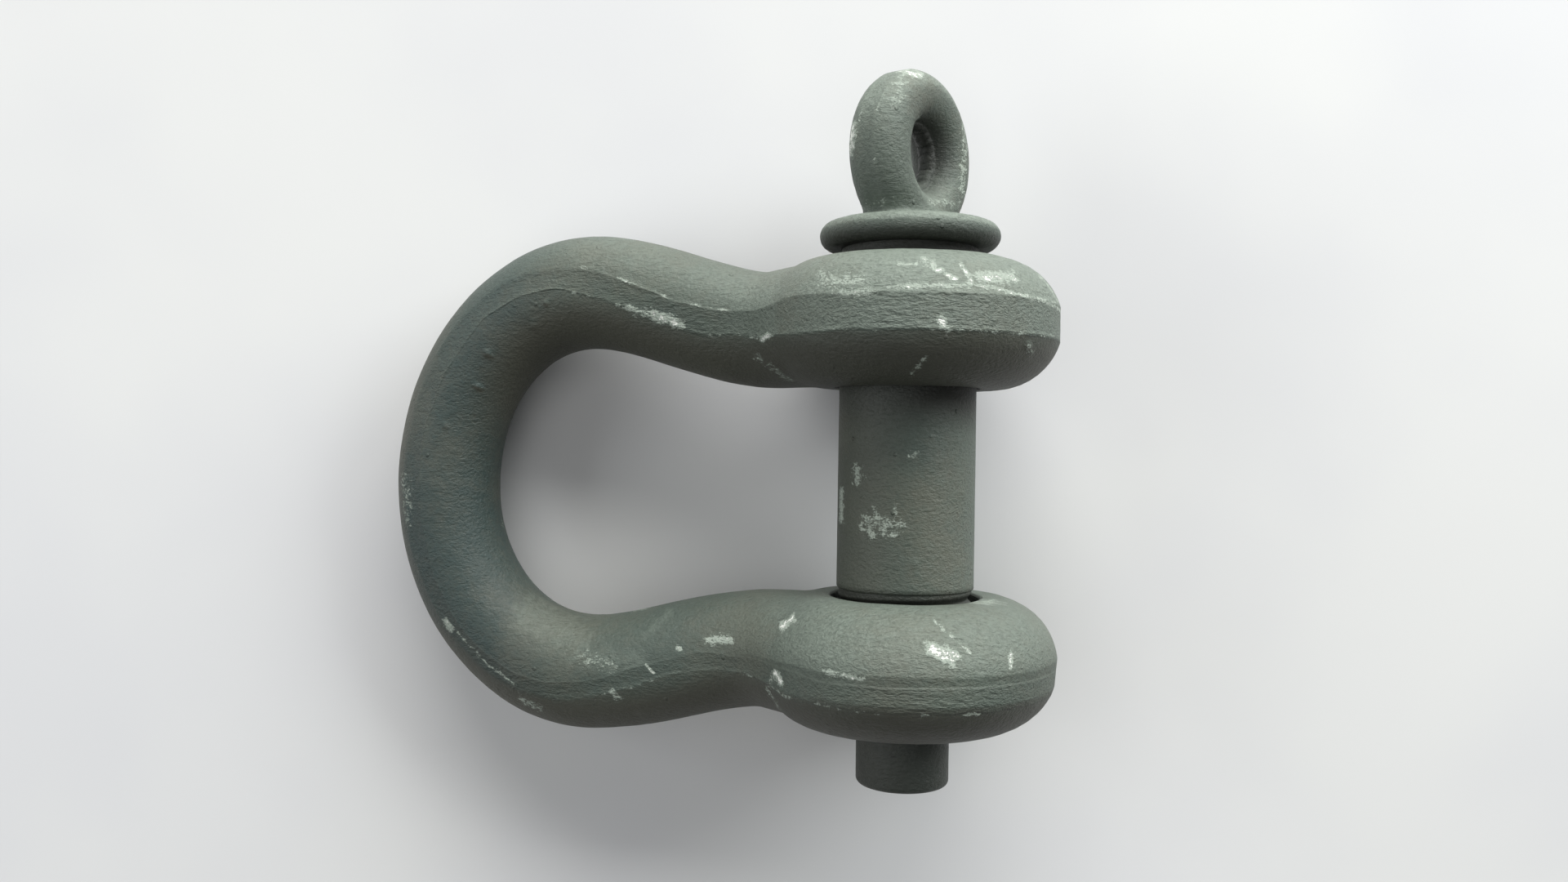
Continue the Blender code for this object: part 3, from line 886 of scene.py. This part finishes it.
def pin_head():
    item = add_object("pin_head_forging", *turned_mesh(collar_profile(), TURNED_STEPS))
    join_ring(item)
    write_points(item, settle(read_points(item), head_gap, 4))
    for _ in range(2):
        even_out(item)
        write_points(item, settle(read_points(item), head_gap, 3))
    item.data.shade_smooth()
    x, y, z = read_points(item).T
    out = np.hypot(x / EYE_HALF_WIDTH, (y - EYE_CENTRE) / EYE_HALF_HEIGHT)
    paint_head_edges(item, x, y, z, out)
    roughen(item, 0.10 * MM, 7 * MM, 4)
    roughen(item, 0.06 * MM, 1.8 * MM, 6)
    bake_placing(item, PIN_CENTRE, EYE_TURN)
    paint_head(item, y, out)
    return item


# Paint


class Tree:
    """A node tree with short ways to add and join nodes."""

    def __init__(self, tree):
        self.tree = tree
        self.column = 0

    def add(self, kind, **settings):
        node = self.tree.nodes.new(kind)
        node.location = (self.column * 190, 0)
        self.column += 1
        for name, value in settings.items():
            setattr(node, name, value)
        return node

    def join(self, source, target):
        self.tree.links.new(source, target)

    def put(self, socket, value):
        if isinstance(value, bpy.types.NodeSocket):
            self.join(value, socket)
        else:
            socket.default_value = value

    def maths(self, operation, first, second=0.0, clamp=False):
        node = self.add("ShaderNodeMath", operation=operation, use_clamp=clamp)
        self.put(node.inputs[0], first)
        self.put(node.inputs[1], second)
        return node.outputs[0]

    def stretch(self, vector, factors):
        node = self.add("ShaderNodeVectorMath", operation="MULTIPLY")
        self.put(node.inputs[0], vector)
        node.inputs[1].default_value = factors
        return node.outputs["Vector"]

    def noise(self, vector, size, detail=2.0, roughness=0.5, distortion=0.0):
        """Noise with features of about the given size in metres."""
        node = self.add("ShaderNodeTexNoise")
        self.put(node.inputs["Vector"], vector)
        node.inputs["Scale"].default_value = 1.0 / size
        node.inputs["Detail"].default_value = detail
        node.inputs["Roughness"].default_value = roughness
        node.inputs["Distortion"].default_value = distortion
        return node.outputs["Fac"]

    def ramp(self, value, start, end, low=0.0, high=1.0):
        node = self.add("ShaderNodeMapRange", interpolation_type="SMOOTHSTEP")
        self.put(node.inputs["Value"], value)
        self.put(node.inputs["From Min"], start)
        self.put(node.inputs["From Max"], end)
        self.put(node.inputs["To Min"], low)
        self.put(node.inputs["To Max"], high)
        return node.outputs["Result"]

    def mix(self, share, first, second):
        node = self.add("ShaderNodeMix", data_type="RGBA")
        self.put(node.inputs["Factor"], share)
        self.put(node.inputs[6], first)
        self.put(node.inputs[7], second)
        return node.outputs[2]

    def painted(self, attribute):
        return self.add("ShaderNodeAttribute", attribute_name=attribute).outputs["Fac"]


def new_group(name, inputs, outputs):
    """A shader node group, with its own input and output nodes ready to join."""
    group = bpy.data.node_groups.new(name, "ShaderNodeTree")
    for socket_name, socket_type, value in inputs:
        socket = group.interface.new_socket(name=socket_name, in_out="INPUT", socket_type=socket_type)
        if value is not None:
            socket.default_value = value
    for socket_name, socket_type in outputs:
        group.interface.new_socket(name=socket_name, in_out="OUTPUT", socket_type=socket_type)
    tree = Tree(group)
    return group, tree, tree.add("NodeGroupInput"), tree.add("NodeGroupOutput")


def paint_grain_group():
    """Height and mottling of thick matt paint: orange peel, wrinkles drawn out along X, and trapped grit."""
    group, tree, given, result = new_group(
        "Paint grain",
        [("Vector", "NodeSocketVector", None),
         ("Wrinkle", "NodeSocketFloat", 0.5),
         ("Grit", "NodeSocketFloat", 0.5)],
        [("Height", "NodeSocketFloat"), ("Mottle", "NodeSocketFloat"), ("Grit", "NodeSocketFloat")])
    vector = given.outputs["Vector"]
    drawn_out = tree.stretch(vector, (0.34, 1.0, 1.0))
    peel = tree.noise(vector, 0.9 * MM, 3.0, 0.55)
    wrinkle = tree.noise(drawn_out, 0.85 * MM, 3.0, 0.6, 0.9)
    lumps = tree.noise(vector, 4.5 * MM, 2.0)
    cells = tree.add("ShaderNodeTexVoronoi", feature="F1")
    tree.put(cells.inputs["Vector"], vector)
    cells.inputs["Scale"].default_value = 1.0 / (5.5 * MM)
    spot = tree.ramp(cells.outputs["Distance"], 0.045, 0.13, 1.0, 0.0)
    chosen = tree.add("ShaderNodeSeparateColor")
    tree.join(cells.outputs["Color"], chosen.inputs["Color"])
    grit = tree.maths("MULTIPLY", spot, tree.ramp(chosen.outputs["Red"], 0.55, 0.75))
    grit = tree.maths("MULTIPLY", grit, given.outputs["Grit"])
    height = tree.maths("MULTIPLY", peel, 0.55)
    height = tree.maths("ADD", height, tree.maths("MULTIPLY", wrinkle, given.outputs["Wrinkle"]))
    height = tree.maths("ADD", height, tree.maths("MULTIPLY", lumps, 0.5))
    height = tree.maths("ADD", height, tree.maths("MULTIPLY", grit, 1.1))
    mottle = tree.maths("ADD", tree.maths("MULTIPLY", wrinkle, 0.5), tree.maths("MULTIPLY", peel, 0.5))
    tree.join(height, result.inputs["Height"])
    tree.join(mottle, result.inputs["Mottle"])
    tree.join(grit, result.inputs["Grit"])
    return group


def wear_group():
    """Where the paint is rubbed pale and where it is chipped, from painted wear broken up by fine noise."""
    group, tree, given, result = new_group(
        "Wear",
        [("Vector", "NodeSocketVector", None),
         ("Edge", "NodeSocketFloat", 0.0),
         ("Scuff", "NodeSocketFloat", 0.0)],
        [("Rubbed", "NodeSocketFloat"), ("Chipped", "NodeSocketFloat")])
    vector = given.outputs["Vector"]
    patches = tree.noise(vector, 9 * MM, 3.0, 0.6)
    streaks = tree.noise(tree.stretch(vector, (0.4, 1.0, 1.0)), 0.9 * MM, 3.0, 0.6, 0.6)
    specks = tree.noise(vector, 0.55 * MM, 2.0, 0.6)
    broken = tree.maths("ADD", tree.maths("MULTIPLY", streaks, 0.6), tree.maths("MULTIPLY", specks, 0.4))
    edge = tree.maths("MULTIPLY", given.outputs["Edge"], tree.ramp(patches, 0.42, 0.66, 0.0, 0.75))
    amount = tree.maths("MAXIMUM", edge, given.outputs["Scuff"])
    level = tree.maths("ADD", tree.maths("MULTIPLY", amount, 0.50), broken)
    tree.join(tree.ramp(level, 0.66, 0.84), result.inputs["Rubbed"])
    tree.join(tree.ramp(level, 0.90, 0.95), result.inputs["Chipped"])
    return group


def dust_group():
    """Where brown dust lies: in broad uneven patches, thicker where it was painted on."""
    group, tree, given, result = new_group(
        "Dust",
        [("Vector", "NodeSocketVector", None), ("Amount", "NodeSocketFloat", 0.5)],
        [("Dust", "NodeSocketFloat"), ("Tint", "NodeSocketFloat")])
    vector = given.outputs["Vector"]
    broad = tree.noise(vector, 34 * MM, 3.0, 0.55)
    fine = tree.noise(vector, 2.6 * MM, 4.0, 0.65)
    level = tree.maths("ADD", tree.maths("MULTIPLY", broad, 0.7), tree.maths("MULTIPLY", fine, 0.3))
    dust = tree.maths("MULTIPLY", tree.ramp(level, 0.42, 0.66), given.outputs["Amount"])
    tree.join(dust, result.inputs["Dust"])
    tree.join(tree.ramp(tree.noise(vector, 22 * MM, 2.0), 0.35, 0.65), result.inputs["Tint"])
    return group


def olive_colour(tree, grain, wear, dust_and_painted_light):
    """The paint's colour: olive, then paler painted light with dust, brown dust, brown painted shade and
    near-black painted shade over it, then rubbed and chipped places.
    """
    light_and_dust_share = tree.painted("dust_and_painted_light")
    edge = tree.painted("edge_wear")
    cool = tree.maths("MAXIMUM", tree.maths("MULTIPLY", dust_and_painted_light.outputs["Tint"], 0.35), tree.painted("cool"))
    dark = tree.ramp(grain.outputs["Mottle"], 0.34, 0.56, 0.38, 0.0)
    rubbed = tree.maths("MULTIPLY", wear.outputs["Rubbed"], 0.75)
    # The paler layer is painted light with some dust; the brown side layer and the near-black layer are
    # painted shade
    layers = (
        (cool, COOL_OLIVE),
        (light_and_dust_share, PAINTED_LIGHT_DUST_AND_WEAR_OLIVE),
        (tree.maths("MULTIPLY", edge, 0.18), PAINTED_LIGHT_DUST_AND_WEAR_OLIVE),
        (dark, DARK_OLIVE),
        (dust_and_painted_light.outputs["Dust"], BROWN_DUST),
        (tree.painted("brown"), BROWN_PAINTED_SHADE),
        (tree.painted("painted_shade"), PAINTED_SHADE_BLACK),
        (rubbed, RUBBED_PAINT),
        (wear.outputs["Chipped"], CHIPPED_PAINT))
    colour = OLIVE
    for share, layer in layers:
        colour = tree.mix(share, colour, layer)
    return colour


def olive_height(tree, place, grain, wear):
    """The paint's relief: its grain, the sheared flash band, proud rubbed patches and sunken chips."""
    sheared = tree.noise(tree.stretch(place, (0.22, 1.0, 1.0)), 0.9 * MM, 2.0, 0.6, 0.5)
    band = tree.maths("MULTIPLY", sheared, tree.painted("trimmed"))
    height = tree.maths("ADD", grain.outputs["Height"], band)
    height = tree.maths("ADD", height, tree.maths("MULTIPLY", wear.outputs["Rubbed"], 0.25))
    return tree.maths("SUBTRACT", height, tree.maths("MULTIPLY", wear.outputs["Chipped"], 0.5))


def olive_paint(name, groups, wrinkle, grit, dust, relief):
    """Matt olive paint over a forging, with its grain, dust, painted light and shade, rubbed edges and chips.
    """
    material = bpy.data.materials.new(name)
    material.use_nodes = True
    tree = Tree(material.node_tree)
    shader = material.node_tree.nodes["Principled BSDF"]
    place = tree.add("ShaderNodeTexCoord").outputs["Object"]
    grain, wear, dust_and_painted_light = (
        tree.add("ShaderNodeGroup", node_tree=groups[part], label=part)
        for part in ("Paint grain", "Wear", "Dust"))
    for part in (grain, wear, dust_and_painted_light):
        tree.join(place, part.inputs["Vector"])
    tree.join(tree.ramp(tree.painted("dust_and_painted_light"), 0.0, 0.8, 0.45 * wrinkle, wrinkle), grain.inputs["Wrinkle"])
    grain.inputs["Grit"].default_value = grit
    dust_and_painted_light.inputs["Amount"].default_value = dust
    tree.join(tree.painted("edge_wear"), wear.inputs["Edge"])
    tree.join(tree.painted("scuff"), wear.inputs["Scuff"])
    tree.join(olive_colour(tree, grain, wear, dust_and_painted_light), shader.inputs["Base Color"])
    rough = tree.maths("ADD", tree.maths("MULTIPLY", grain.outputs["Mottle"], 0.2), 0.44)
    rough = tree.maths("ADD", rough, tree.maths("MULTIPLY", wear.outputs["Rubbed"], 0.12), clamp=True)
    tree.join(rough, shader.inputs["Roughness"])
    shader.inputs["Specular IOR Level"].default_value = 0.42
    bump = tree.add("ShaderNodeBump")
    bump.inputs["Strength"].default_value = relief
    bump.inputs["Distance"].default_value = 0.5 * MM
    tree.join(olive_height(tree, place, grain, wear), bump.inputs["Height"])
    tree.join(bump.outputs["Normal"], shader.inputs["Normal"])
    return material


def floor_material():
    material = bpy.data.materials.new("pale_floor")
    material.use_nodes = True
    tree = Tree(material.node_tree)
    shader = material.node_tree.nodes["Principled BSDF"]
    place = tree.add("ShaderNodeTexCoord").outputs["Object"]
    cloud = tree.ramp(tree.noise(place, 0.16, 3.0), 0.3, 0.7)
    tree.join(tree.mix(cloud, FLOOR_COOL, FLOOR_WARM), shader.inputs["Base Color"])
    shader.inputs["Roughness"].default_value = 0.55
    return material


def floor():
    half = FLOOR_SIZE / 2
    item = add_object(
        "floor", [(-half, -half, 0), (half, -half, 0), (half, half, 0), (-half, half, 0)], [(0, 1, 2, 3)])
    item.location.z = min(0.0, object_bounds()[0].z) - 0.05 * MM
    item.data.materials.append(floor_material())
    item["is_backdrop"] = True


def soft_light(name, position, size, power, colour):
    """A soft box aimed at the shackle."""
    data = bpy.data.lights.new(name, "AREA")
    data.shape = "RECTANGLE"
    data.size, data.size_y = size
    data.energy = power
    data.color = colour
    item = bpy.data.objects.new(name, data)
    item.location = position
    item.rotation_euler = (Vector((0, 0, 0.03)) - Vector(position)).to_track_quat("-Z", "Y").to_euler()
    item.visible_camera = False
    bpy.context.collection.objects.link(item)
    item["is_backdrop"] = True


def lights():
    for name, (position, size, power, colour) in SOFT_BOXES.items():
        soft_light(name, position, size, power, colour)
    world = bpy.data.worlds.new("studio")
    world.use_nodes = True
    air = world.node_tree.nodes["Background"]
    air.inputs["Color"].default_value = STUDIO_AIR
    tree = Tree(world.node_tree)
    seen_by_camera = tree.add("ShaderNodeLightPath").outputs["Is Camera Ray"]
    brightness = tree.ramp(seen_by_camera, 0.0, 1.0, STUDIO_FILL, STUDIO_BACKDROP)
    tree.join(brightness, air.inputs["Strength"])
    bpy.context.scene.world = world
    bpy.context.scene.view_settings.view_transform = "Standard"


def camera():
    data = bpy.data.cameras.new("camera")
    data.lens = CAMERA_LENS
    data.sensor_width = 36
    item = bpy.data.objects.new("camera", data)
    item.location = PIN_CENTRE + CAMERA_OFFSET
    item.rotation_euler = (0.0, 0.0, CAMERA_ROLL)
    bpy.context.collection.objects.link(item)
    bpy.context.scene.camera = item


def add_piece(item, material, body, node):
    item.data.materials.clear()
    item.data.materials.append(material)
    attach(item, body)
    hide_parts(node)


def main():
    groups = {group.name: group for group in (paint_grain_group(), wear_group(), dust_group())}
    bow_paint = olive_paint("bow_olive_paint", groups, wrinkle=1.2, grit=0.5, dust=0.3, relief=1.0)
    pin_paint = olive_paint("pin_olive_paint", groups, wrinkle=1.2, grit=0.8, dust=0.4, relief=0.95)
    add_piece(bow(), bow_paint, "bow", "bow")
    add_piece(pin_shank(), pin_paint, "pin_shank", "pin_shank")
    add_piece(pin_head(), pin_paint, "pin_head", "pin_head")
    floor()
    lights()
    camera()


main()
